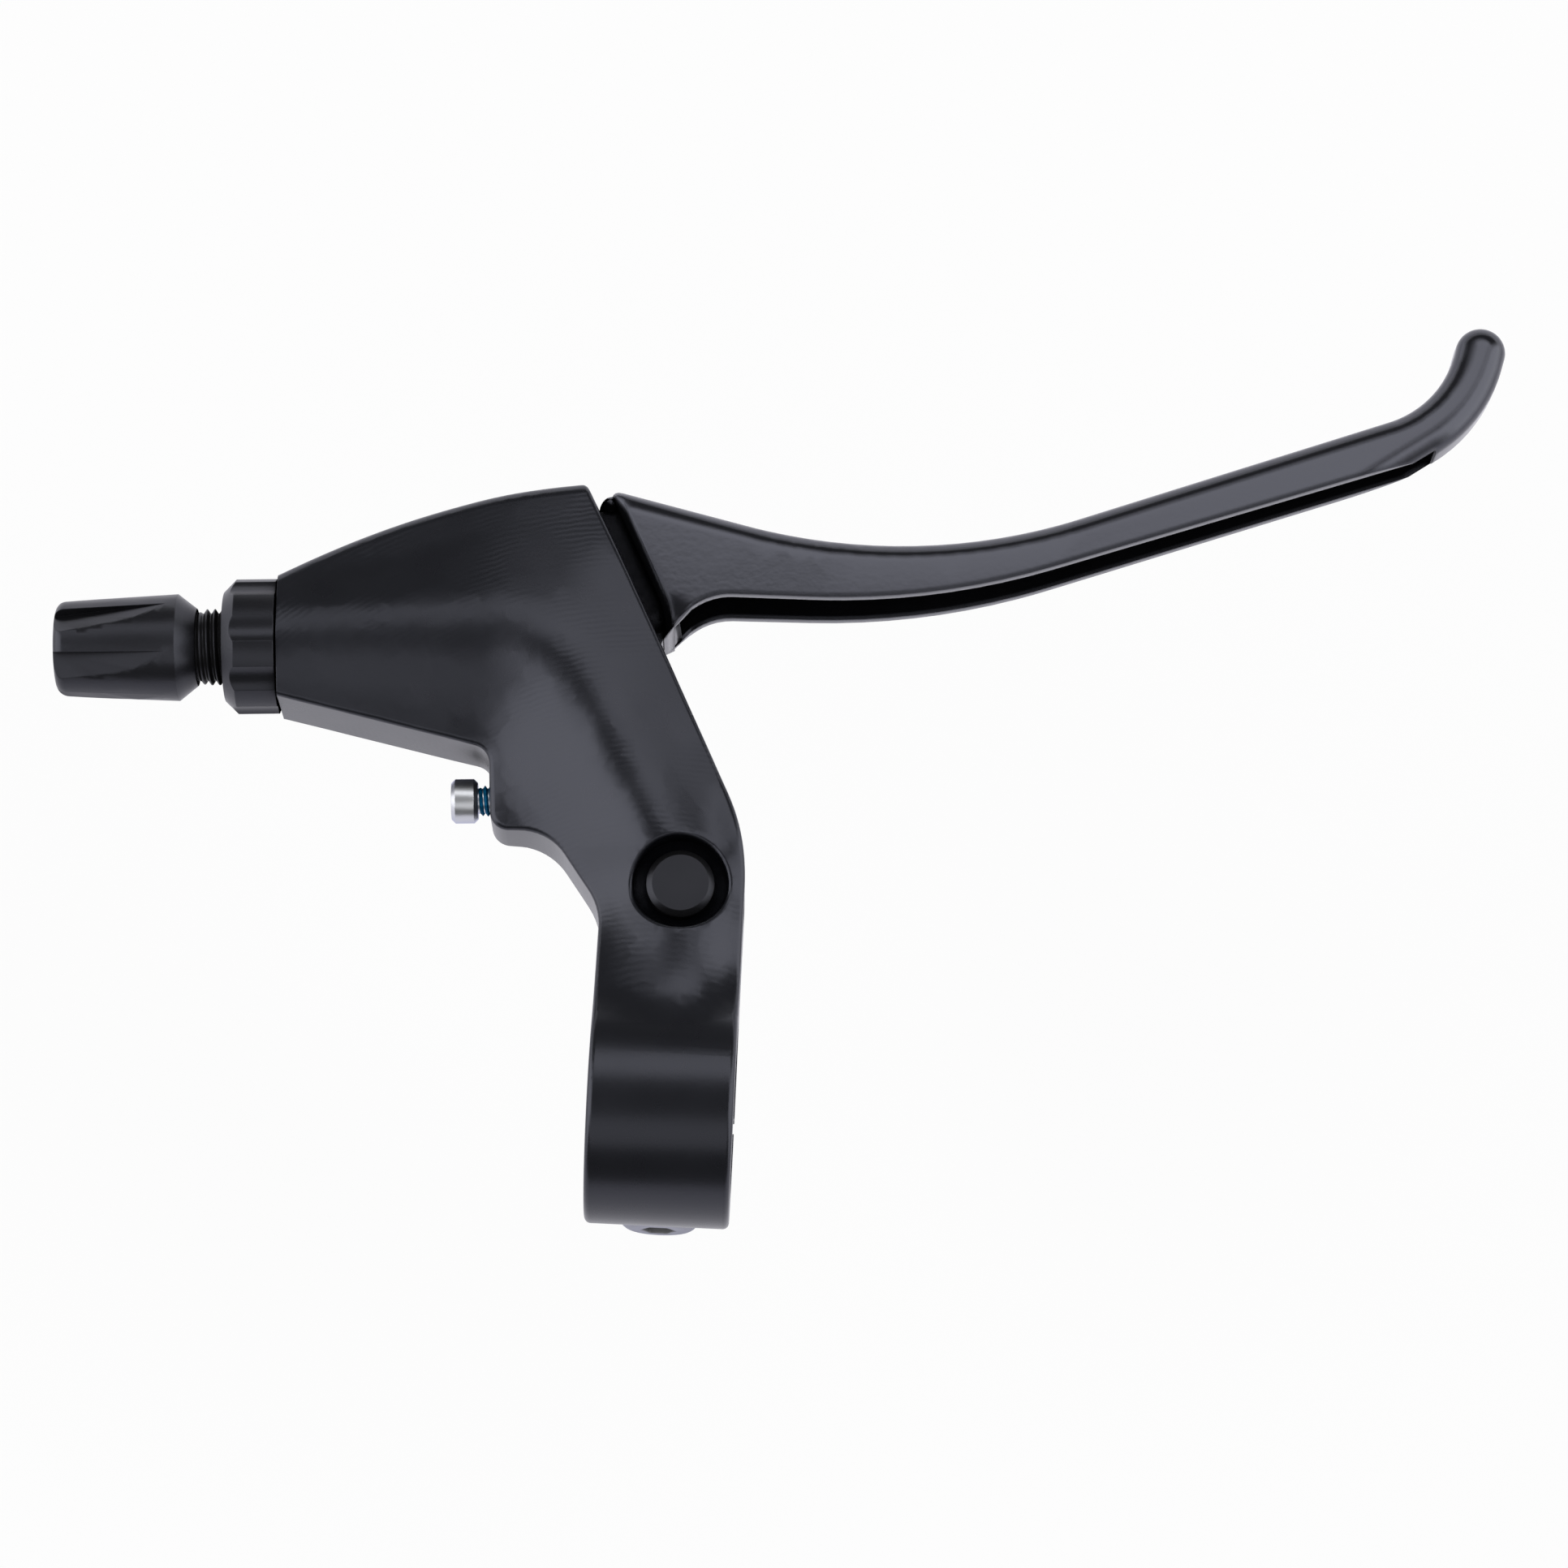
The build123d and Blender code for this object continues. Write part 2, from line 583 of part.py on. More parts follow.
def adjuster_bolt():
    """Hollow screw: threaded shank, core for the knob and socket for the casing."""
    core_end = KNOB_OUTER + KNOB_LIP
    shank = ADJUSTER_THREAD / 2 - RUNNING
    part = Pos(0, 0, NECK_INNER) * Cylinder(shank, ADJUSTER_DEPTH - NECK_INNER, align=STANDING)
    part += Pos(0, 0, core_end) * Cylinder(CORE_DIAMETER / 2, NECK_INNER - core_end, align=STANDING)
    part -= Pos(0, 0, core_end) * Cylinder(CASING_DIAMETER / 2, CASING_DEPTH, align=STANDING)
    part -= Cylinder(CABLE_BORE / 2, FAR)
    return ADJUSTER * part


def adjuster_knob():
    """Tapered plastic sleeve with a cone neck and wedge flutes that fade towards the bracket."""
    small = KNOB_OUTER_END / 2
    large = KNOB_INNER_END / 2
    neck = ADJUSTER_THREAD / 2
    bore = CORE_DIAMETER / 2 + PRESSED
    profile = plan([(bore, KNOB_OUTER), (small, KNOB_OUTER), (large, KNOB_INNER), (neck, NECK_INNER),
                    (bore, NECK_INNER)])
    profile = fillet(profile.vertices().sort_by_distance((small, KNOB_OUTER))[0], KNOB_EDGE)
    part = revolve(Plane.XZ * profile, Axis.Z)
    start = Vector(small - FLUTE_DEPTH, 0, KNOB_OUTER)
    finish = Vector(small + (large - small) * FLUTE_LENGTH / KNOB_LENGTH, 0, KNOB_OUTER + FLUTE_LENGTH)
    flute = Plane(origin=start, x_dir=(1, 0, 0), z_dir=finish - start) * Box(
        KNOB_LENGTH, KNOB_LENGTH, 3 * KNOB_LENGTH, align=(Align.MIN, Align.MIN, Align.CENTER))
    for turn in range(KNOB_FLUTES):
        part -= Rot(0, 0, FLUTE_START + turn * 360 / KNOB_FLUTES) * flute
    return ADJUSTER * part


def lock_nut():
    """Lobed nut on the adjuster's thread, bevelled on its outer side."""
    radius = NUT_DIAMETER / 2
    part = Pos(0, 0, NUT_OUTER) * Cylinder(radius, NUT_LENGTH, align=STANDING)
    part = chamfer(part.edges().sort_by(Axis.Z)[0], NUT_BEVEL)
    scallop = Cylinder(NUT_SCALLOP, FAR)
    for turn in range(NUT_LOBES):
        part -= Rot(0, 0, turn * 360 / NUT_LOBES) * Pos(radius + NUT_SCALLOP - NUT_DEPTH, 0, 0) * scallop
    return ADJUSTER * (part - Cylinder(ADJUSTER_THREAD / 2, FAR))


# Screws

def hex_hole(size, depth):
    """Hexagon socket of a size across its flats, into the head from the plane it stands on."""
    return extrude(RegularPolygon(size / 2, 6, major_radius=False), amount=depth)


def reach_screw():
    """Socket screw that sets how far the lever stands from the handlebar."""
    length = REACH_SHOWN + reach_depth() - REACH_TIP_GAP
    head_end = -REACH_SHOWN - REACH_HEAD_LENGTH
    part = Pos(0, 0, -REACH_SHOWN) * Cylinder(REACH_DIAMETER / 2, length, align=STANDING)
    head = Pos(0, 0, head_end) * Cylinder(REACH_HEAD_DIAMETER / 2, REACH_HEAD_LENGTH, align=STANDING)
    head = chamfer(head.edges().filter_by(GeomType.CIRCLE), REACH_BEVEL)
    part += head
    part -= Pos(0, 0, head_end) * hex_hole(REACH_HEX, REACH_HEAD_LENGTH / 2)
    return REACH * part


def clamp_bolt():
    """Button-head socket screw that closes the clamp."""
    head = Cylinder(BOLT_HEAD_DIAMETER / 2, BOLT_HEAD_HEIGHT, align=HANGING)
    head = fillet(head.edges().sort_by(Axis.Z)[0], BOLT_HEAD_HEIGHT * BUTTON_ROUND)
    part = head + Cylinder(BOLT_DIAMETER / 2, BOLT_LENGTH, align=STANDING)
    part -= Pos(0, 0, -BOLT_HEAD_HEIGHT) * hex_hole(BOLT_HEX, BOLT_HEAD_HEIGHT * BUTTON_ROUND)
    return CLAMP_AXIS * part


def main():
    """Build every piece and write it to its own file."""
    os.makedirs("parts", exist_ok=True)
    upper = flanged_bush()
    pieces = {
        "bracket": bracket(),
        "lever_blade": lever_blade(),
        "pivot_axle": pivot_axle(),
        "retaining_ring": retaining_ring(),
        "upper_bush": upper,
        "lower_bush": mirror(upper, about=Plane.XY),
        "cable_anchor": cable_anchor(),
        "reach_screw": reach_screw(),
        "adjuster_bolt": adjuster_bolt(),
        "adjuster_knob": adjuster_knob(),
        "lock_nut": lock_nut(),
        "clamp_bolt": clamp_bolt(),
    }
    for name, piece in pieces.items():
        export_step(piece, f"parts/{name}.step")


main()
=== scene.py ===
import json
import logging
import math
from dataclasses import dataclass, field
from enum import Enum

import bmesh
import bpy
from mathutils import Matrix, Vector
from mathutils.noise import fractal


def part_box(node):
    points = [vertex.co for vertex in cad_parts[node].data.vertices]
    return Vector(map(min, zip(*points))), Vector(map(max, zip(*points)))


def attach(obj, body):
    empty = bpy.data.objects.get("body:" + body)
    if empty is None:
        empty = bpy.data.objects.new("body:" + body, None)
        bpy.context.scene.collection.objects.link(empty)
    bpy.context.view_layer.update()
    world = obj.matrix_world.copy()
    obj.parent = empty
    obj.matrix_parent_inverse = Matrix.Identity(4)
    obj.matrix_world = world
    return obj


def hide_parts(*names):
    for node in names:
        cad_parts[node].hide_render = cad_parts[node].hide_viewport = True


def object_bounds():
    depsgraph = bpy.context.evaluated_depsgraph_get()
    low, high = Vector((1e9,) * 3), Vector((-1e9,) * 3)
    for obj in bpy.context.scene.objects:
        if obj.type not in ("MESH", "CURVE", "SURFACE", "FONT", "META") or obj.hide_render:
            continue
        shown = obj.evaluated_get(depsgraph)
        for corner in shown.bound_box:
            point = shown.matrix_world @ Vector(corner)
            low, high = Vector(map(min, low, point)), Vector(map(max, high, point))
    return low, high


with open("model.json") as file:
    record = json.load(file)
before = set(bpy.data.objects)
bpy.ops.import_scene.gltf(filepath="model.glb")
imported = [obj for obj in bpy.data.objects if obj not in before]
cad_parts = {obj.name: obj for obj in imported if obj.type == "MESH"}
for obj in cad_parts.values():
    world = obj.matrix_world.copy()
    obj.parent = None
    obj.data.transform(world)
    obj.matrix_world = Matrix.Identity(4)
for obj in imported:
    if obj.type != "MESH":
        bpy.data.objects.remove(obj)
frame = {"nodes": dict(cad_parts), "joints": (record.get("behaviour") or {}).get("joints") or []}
CAD_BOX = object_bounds()

LOG = logging.getLogger("brake_lever")
MM = 0.001
PHOTO_SIDE = 1932
OPAQUE = (1.0,)
WHITE = (1.0, 1.0, 1.0) + OPAQUE

# One wave of Blender's wave texture at scale 1.
WAVE_LENGTH = math.pi / 10

# The thread's flat sheet has sides of 1, and its flanks are steep enough to leave a flat crest and root.
THREAD_TREE = "screw_thread"
THREAD_WELD = 0.001 * MM
SHEET_HALF = 0.5
FLANK_GAIN = 1.3

Tree = bpy.types.NodeTree
Socket = bpy.types.NodeSocket


def limit(value: float) -> float:
    """Keep a value from 0 to 1."""
    return min(max(value, 0.0), 1.0)


def noise(tree: Tree, place: Socket, size: float, detail: float) -> Socket:
    """Noise with features of a real size.

    Args:
        tree: The node tree that gets the noise.
        place: Coordinates in metres.
        size: Size of the largest features in metres.
        detail: Octaves of finer noise.

    Returns:
        The socket of the noise's value.
    """
    texture = tree.nodes.new("ShaderNodeTexNoise")
    texture.inputs["Scale"].default_value = 1 / size
    texture.inputs["Detail"].default_value = detail
    tree.links.new(place, texture.inputs["Vector"])
    return texture.outputs["Fac"]


def maths(tree: Tree, operation: str, *values: Socket | float, clamp: bool = False) -> Socket:
    """One step of arithmetic in a node tree.

    Args:
        tree: The node tree that gets the step.
        operation: Blender's name of the operation.
        values: Its inputs, each a socket or a number.
        clamp: Whether the result is kept from 0 to 1.

    Returns:
        The socket of the result.
    """
    node = tree.nodes.new("ShaderNodeMath")
    node.operation = operation
    node.use_clamp = clamp
    for socket, value in zip(node.inputs, values):
        if isinstance(value, Socket):
            tree.links.new(value, socket)
        else:
            socket.default_value = value
    return node.outputs["Value"]


def ramp(tree: Tree, value: Socket, source: tuple[float, float] = (0.0, 1.0),
         result: tuple[float, float] = (0.0, 1.0), smooth: bool = False) -> Socket:
    """Map one span of values to another, held at both ends.

    Args:
        tree: The node tree that gets the ramp.
        value: What is mapped.
        source: Values where the ramp starts and ends.
        result: What it gives there.
        smooth: Whether the ramp eases in and out.

    Returns:
        The socket of the result.
    """
    node = tree.nodes.new("ShaderNodeMapRange")
    node.interpolation_type = "SMOOTHSTEP" if smooth else "LINEAR"
    node.inputs["From Min"].default_value, node.inputs["From Max"].default_value = source
    node.inputs["To Min"].default_value, node.inputs["To Max"].default_value = result
    tree.links.new(value, node.inputs["Value"])
    return node.outputs["Result"]


class Grain(Enum):
    """Fine structure that a finish has on its surface, by the octaves of its noise."""

    POLISHED = 2.0
    GLOSS = 1.0
    ERODED = 4.0
    PLATED = 3.0


@dataclass(frozen=True)
class Finish:
    """Procedural finish of one material: its colour, its gloss, its fine structure and a painted shade
    that dims its reflection in recesses.

    Sizes are in metres, the wander values are shares of colour and roughness, and each span says where an
    effect starts and where it is full.
    """

    name: str
    colour: tuple[float, float, float]
    roughness: float
    grain: Grain
    grain_size: float
    grain_depth: float
    metallic: float = 0.0
    specular: float = 0.5
    specular_tint: tuple[float, float, float] = (0.82, 0.84, 1.0)
    edge: float = 0.12 * MM
    edge_rays: int = 4
    colour_wander: float = 0.2
    colour_span: tuple[float, float] = (0.3, 0.7)
    roughness_wander: float = 0.12
    wander_size: float = 9 * MM
    wander_detail: float = 3.0
    line_pitch: float = 0.7 * MM
    line_share: float = 1.3
    line_span: tuple[float, float] = (0.42, 0.68)
    line_bend: float = 3.0
    line_detail: float = 2.0
    # Painted shade in recesses: reach, span and rays of the ambient-occlusion mask that fades the
    # reflection.
    painted_shade_reach: float = 5 * MM
    painted_shade_span: tuple[float, float] = (0.55, 0.9)
    painted_shade_rays: int = 6

    def material(self) -> bpy.types.Material:
        """Build the material, or give the one that already has this finish's name.

        Returns:
            The material, with every pattern on Object coordinates.
        """
        known = bpy.data.materials.get(self.name)
        if known is not None:
            return known
        material = bpy.data.materials.new(self.name)
        material.use_nodes = True
        tree = material.node_tree
        shader = tree.nodes["Principled BSDF"]
        shader.inputs["Metallic"].default_value = self.metallic
        shader.inputs["Specular Tint"].default_value = self.specular_tint + OPAQUE
        place = tree.nodes.new("ShaderNodeTexCoord").outputs["Object"]
        wander = noise(tree, place, self.wander_size, self.wander_detail)
        tree.links.new(self.tint(tree, wander), shader.inputs["Base Color"])
        tree.links.new(self.gloss(tree, wander), shader.inputs["Roughness"])
        # Painted shade: the specular level is faded in recesses.
        tree.links.new(self.painted_recess_shade(tree), shader.inputs["Specular IOR Level"])
        tree.links.new(self.relief(tree, place, wander), shader.inputs["Normal"])
        return material

    def tint(self, tree: Tree, wander: Socket) -> Socket:
        """Colour that drifts a little over the surface.

        Args:
            tree: The material's node tree.
            wander: Slow noise from 0 to 1.

        Returns:
            The colour's socket.
        """
        colours = tree.nodes.new("ShaderNodeValToRGB")
        dark, light = colours.color_ramp.elements
        dark.position, light.position = self.colour_span
        dark.color = tuple(part * (1 - self.colour_wander) for part in self.colour) + OPAQUE
        light.color = tuple(limit(part * (1 + self.colour_wander)) for part in self.colour) + OPAQUE
        tree.links.new(wander, colours.inputs["Fac"])
        return colours.outputs["Color"]

    def gloss(self, tree: Tree, wander: Socket) -> Socket:
        """Roughness that drifts with the colour.

        Args:
            tree: The material's node tree.
            wander: Slow noise from 0 to 1.

        Returns:
            The roughness socket.
        """
        lowest = self.roughness * (1 - self.roughness_wander)
        highest = self.roughness * (1 + self.roughness_wander)
        return ramp(tree, wander, result=(lowest, highest))

    def painted_recess_shade(self, tree: Tree) -> Socket:
        """Painted shade: an ambient-occlusion mask fades the reflection in narrow recesses, where shade
        falls.

        Args:
            tree: The material's node tree.

        Returns:
            The socket of the specular level.
        """
        painted_shade_mask = tree.nodes.new("ShaderNodeAmbientOcclusion")
        painted_shade_mask.samples = self.painted_shade_rays
        painted_shade_mask.inputs["Distance"].default_value = self.painted_shade_reach
        return ramp(tree, painted_shade_mask.outputs["AO"], self.painted_shade_span, (0.0, self.specular))

    def relief(self, tree: Tree, place: Socket, wander: Socket) -> Socket:
        """Fine structure as a bump of its true depth, over edges that are broken by a hair.

        Args:
            tree: The material's node tree.
            place: Object coordinates.
            wander: Slow noise from 0 to 1.

        Returns:
            The normal socket.
        """
        height = noise(tree, place, self.grain_size, self.grain.value)
        if self.grain is Grain.POLISHED:
            patches = ramp(tree, wander, self.line_span, smooth=True)
            lines = maths(tree, "MULTIPLY", self.lines(tree, place), patches)
            height = maths(tree, "MULTIPLY_ADD", lines, self.line_share, height)
        rounded = tree.nodes.new("ShaderNodeBevel")
        rounded.samples = self.edge_rays
        rounded.inputs["Radius"].default_value = self.edge
        bump = tree.nodes.new("ShaderNodeBump")
        bump.inputs["Distance"].default_value = self.grain_depth
        tree.links.new(height, bump.inputs["Height"])
        tree.links.new(rounded.outputs["Normal"], bump.inputs["Normal"])
        return bump.outputs["Normal"]

    def lines(self, tree: Tree, place: Socket) -> Socket:
        """Faint arcs that polishing left in the casting under its paint.

        Args:
            tree: The material's node tree.
            place: Object coordinates.

        Returns:
            The socket of the arcs' height, from 0 to 1.
        """
        wave = tree.nodes.new("ShaderNodeTexWave")
        wave.wave_type = "RINGS"
        wave.rings_direction = "SPHERICAL"
        wave.inputs["Scale"].default_value = WAVE_LENGTH / self.line_pitch
        wave.inputs["Distortion"].default_value = self.line_bend
        wave.inputs["Detail"].default_value = self.line_detail
        tree.links.new(place, wave.inputs["Vector"])
        return wave.outputs["Fac"]


SATIN_BLACK = Finish(
    "satin_black_paint", colour=(0.0028, 0.003, 0.004), roughness=0.28, grain=Grain.POLISHED,
    grain_size=0.5 * MM, grain_depth=0.005 * MM, specular=0.6,
)
GLOSS_BLACK = Finish(
    "gloss_black_paint", colour=(0.0028, 0.0028, 0.0034), roughness=0.11, grain=Grain.GLOSS,
    grain_size=0.8 * MM, grain_depth=0.004 * MM, specular=0.95, edge=0.9 * MM,
)
MATTE_BLACK = Finish(
    "matte_black_steel", colour=(0.006, 0.006, 0.0065), roughness=0.36, grain=Grain.ERODED,
    grain_size=0.3 * MM, grain_depth=0.003 * MM,
)
BLACK_PLASTIC = Finish(
    "black_moulded_plastic", colour=(0.004, 0.004, 0.0046), roughness=0.3, grain=Grain.ERODED,
    grain_size=0.35 * MM, grain_depth=0.01 * MM, specular=0.55, edge=0.2 * MM,
)
BLACK_PLATING = Finish(
    "black_plated_thread", colour=(0.01, 0.01, 0.0105), roughness=0.3, grain=Grain.PLATED,
    grain_size=0.3 * MM, grain_depth=0.003 * MM,
)
BRIGHT_ZINC = Finish(
    "bright_zinc_plate", colour=(0.6, 0.61, 0.64), roughness=0.32, grain=Grain.PLATED,
    grain_size=0.4 * MM, grain_depth=0.008 * MM, metallic=1.0, colour_wander=0.1,
)
BLUE_PATCH = Finish(
    "blue_locking_patch", colour=(0.002, 0.1, 0.22), roughness=0.5, grain=Grain.ERODED,
    grain_size=0.4 * MM, grain_depth=0.03 * MM, colour_wander=0.6, wander_size=0.8 * MM,
)
DULL_STEEL = Finish(
    "dull_grey_steel", colour=(0.36, 0.36, 0.37), roughness=0.45, grain=Grain.PLATED,
    grain_size=0.3 * MM, grain_depth=0.006 * MM, metallic=0.85, edge=0.3 * MM,
)
BARE_ALUMINIUM = Finish(
    "bare_aluminium", colour=(0.6, 0.6, 0.62), roughness=0.35, grain=Grain.PLATED,
    grain_size=0.3 * MM, grain_depth=0.004 * MM, metallic=1.0,
)
BUSH_PLASTIC = Finish(
    "dark_bearing_plastic", colour=(0.05, 0.05, 0.05), roughness=0.5, grain=Grain.ERODED,
    grain_size=0.3 * MM, grain_depth=0.004 * MM,
)


def joint_axis(name: str) -> tuple[Vector, Vector]:
    """Point and direction of a joint's axis in the frame.

    Args:
        name: The joint's name in the record.

    Returns:
        The point in metres and the unit direction.
    """
    joint = next(joint for joint in frame["joints"] if joint["name"] == name)
    return Vector(joint["pos_m"]), Vector(joint["axis"]).normalized()


@dataclass
class Skin:
    """Smooth-shaded copy of a CAD node that takes its place in the pictures."""

    node: str
    body: str
    slot: str
    finish: Finish
    sharp_angle: float = math.radians(32)
    weld: float = 0.002 * MM

    def mesh(self) -> bpy.types.Mesh:
        """Copy the node's triangles, weld them and drop the normals that came with them.

        Returns:
            A new mesh with smooth faces and sharp edges where the form has them.
        """
        work = bmesh.new()
        work.from_mesh(frame["nodes"][self.node].data)
        bmesh.ops.remove_doubles(work, verts=work.verts, dist=self.weld)
        self.reshape(work)
        mesh = bpy.data.meshes.new(self.node + "_skin")
        work.to_mesh(mesh)
        work.free()
        custom = mesh.attributes.get("custom_normal")
        if custom is not None:
            mesh.attributes.remove(custom)
        mesh.shade_smooth()
        mesh.set_sharp_from_angle(angle=self.sharp_angle)
        return mesh

    def reshape(self, work: bmesh.types.BMesh) -> None:
        """Leave the copy's form as it is."""

    def dress(self) -> bpy.types.Object:
        """Put the copy in the scene in place of its node.

        Returns:
            The finished object.
        """
        piece = bpy.data.objects.new(self.node + "_skin", self.mesh())
        piece.data.materials.append(self.finish.material())
        weights = piece.modifiers.new("even_shading", "WEIGHTED_NORMAL")
        weights.keep_sharp = True
        self.settle(piece)
        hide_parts(self.node)
        return piece

    def settle(self, piece: bpy.types.Object) -> None:
        """Link a finished piece and tie it to the node's body.

        Args:
            piece: The finished object.
        """
        bpy.context.scene.collection.objects.link(piece)
        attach(piece, self.body)
        LOG.info("%s rides on %s", piece.name, self.body)


@dataclass
class Blade(Skin):
    """Copy of the lever's casting with a finer root: thin wall, wide bevel, round corner and drawn heel.

    Places are given across and along the slanted face of the root, from the lever's pivot.
    """

    slant: float = math.radians(26.3)
    root_across: float = 12.8 * MM
    bevel_low: float = 5.44 * MM
    bevel_width: float = 0.82 * MM
    bevel_stretch: float = 1.75
    corner_round: float = 1.5 * MM
    corner_along: float = 49.5 * MM
    corner_reach: float = 3 * MM
    corner_cuts: int = 5
    wall_across: float = 15.4 * MM
    wall_slack: float = 0.02 * MM
    wall_cut: float = 2.1 * MM
    wall_middle: float = 40 * MM
    wall_half: float = 5 * MM
    heel_slope: float = -0.62
    web_slope: float = 0.8
    heel_low: float = 31.75 * MM
    heel_top: float = 36.5 * MM
    heel_reach: float = 4.5 * MM
    heel_lean: float = 1.4 * MM
    heel_taper: float = 0.3
    heel_cuts: int = 5

    def place(self) -> Matrix:
        """Frame at the lever's pivot with its X across the slanted face."""
        return Matrix.Translation(joint_axis("lever_pivot")[0]) @ Matrix.Rotation(self.slant, 4, "Z")

    def reshape(self, work: bmesh.types.BMesh) -> None:
        """Shape the root, in a frame across and along its slanted face.

        Args:
            work: The welded copy.
        """
        place = self.place()
        bmesh.ops.transform(work, matrix=place.inverted(), verts=work.verts)
        for vert in work.verts:
            self.thin_wall(vert.co)
            self.widen_bevel(vert.co)
        for cut in range(1, self.corner_cuts + 1):
            across = self.root_across + self.corner_round * (cut / self.corner_cuts) ** 2
            self.split(work, Vector((across, 0, 0)))
        for cut in range(self.heel_cuts):
            along = self.heel_top - (self.heel_top - self.heel_low) * cut / self.heel_cuts
            self.split(work, Vector((0, along, 0)))
        for vert in work.verts:
            self.round_corner(vert.co)
            self.draw_heel(vert.co)
        bmesh.ops.transform(work, matrix=place, verts=work.verts)

    def split(self, work: bmesh.types.BMesh, spot: Vector) -> None:
        """Cut the copy's faces along a plane, so that they can bend there.

        Args:
            work: The copy, in the root's frame.
            spot: Point of the plane, which lies square to the way from the frame's origin to it.
        """
        everything = work.verts[:] + work.edges[:] + work.faces[:]
        bmesh.ops.bisect_plane(work, geom=everything, plane_co=spot, plane_no=spot.normalized())

    def thin_wall(self, spot: Vector) -> None:
        """Move a corner of the channel's end wall towards the root, along the heel or the web.

        Args:
            spot: Place of a point in the root's frame, which is changed.
        """
        if abs(spot.x - self.wall_across) < self.wall_slack and abs(spot.z) < self.wall_half:
            slope = self.heel_slope if spot.y < self.wall_middle else self.web_slope
            spot += Vector((-1, slope, 0)) * self.wall_cut

    def widen_bevel(self, spot: Vector) -> None:
        """Move a point of the root's bevel away from the root's face.

        Args:
            spot: Place of a point in the root's frame, which is changed.
        """
        inward = spot.x - self.root_across
        if 0 < inward < self.bevel_width and abs(spot.z) > self.bevel_low:
            spot.x = self.root_across + inward * self.bevel_stretch

    def round_corner(self, spot: Vector) -> None:
        """Draw a point of the root's front corner back to a round.

        Args:
            spot: Place of a point in the root's frame, which is changed.
        """
        short = self.corner_round - max(spot.x - self.root_across, 0.0)
        if short > 0 and spot.x > self.root_across - self.weld:
            drop = self.corner_round - math.sqrt(self.corner_round ** 2 - short ** 2)
            spot.y -= drop * limit((spot.y - self.corner_along) / self.corner_reach)

    def draw_heel(self, spot: Vector) -> None:
        """Draw a point of the heel towards the hood and the middle, the more the lower it lies.

        Args:
            spot: Place of a point in the root's frame, which is changed.
        """
        if spot.x > self.root_across - self.weld:
            low = limit((self.heel_top - spot.y) / (self.heel_top - self.heel_low))
            near = limit(1 - (spot.x - self.root_across) / self.heel_reach)
            spot.x -= self.heel_lean * low ** 2 * near
            spot.z *= 1 - self.heel_taper * low ** 2 * near ** 4


@dataclass
class Bead:
    """Rough bead that the mould left at the front of the lever's root, in the root's frame."""

    place: Matrix
    middle: tuple[float, float, float] = (12.35 * MM, 51.1 * MM, 0.0)
    half: tuple[float, float, float] = (1.7 * MM, 1.5 * MM, 5.3 * MM)
    fineness: int = 5
    lump_size: float = 0.8 * MM
    lump_depth: float = 0.4
    lump_falloff: float = 1.0
    lump_step: float = 2.0
    octaves: int = 3

    def mesh(self) -> bpy.types.Mesh:
        """Long ball with hollows between lumps.

        Returns:
            The bead's mesh in the frame.
        """
        work = bmesh.new()
        bmesh.ops.create_icosphere(work, subdivisions=self.fineness, radius=1.0)
        place = self.place @ Matrix.Translation(self.middle) @ Matrix.Diagonal(self.half + (1.0,))
        for vert in work.verts:
            spot = place @ vert.co / self.lump_size
            lump = fractal(spot, self.lump_falloff, self.lump_step, self.octaves)
            vert.co = place @ (vert.co * (1 - self.lump_depth * max(lump, 0.0)))
        mesh = bpy.data.meshes.new("root_bead")
        work.to_mesh(mesh)
        work.free()
        mesh.shade_smooth()
        return mesh


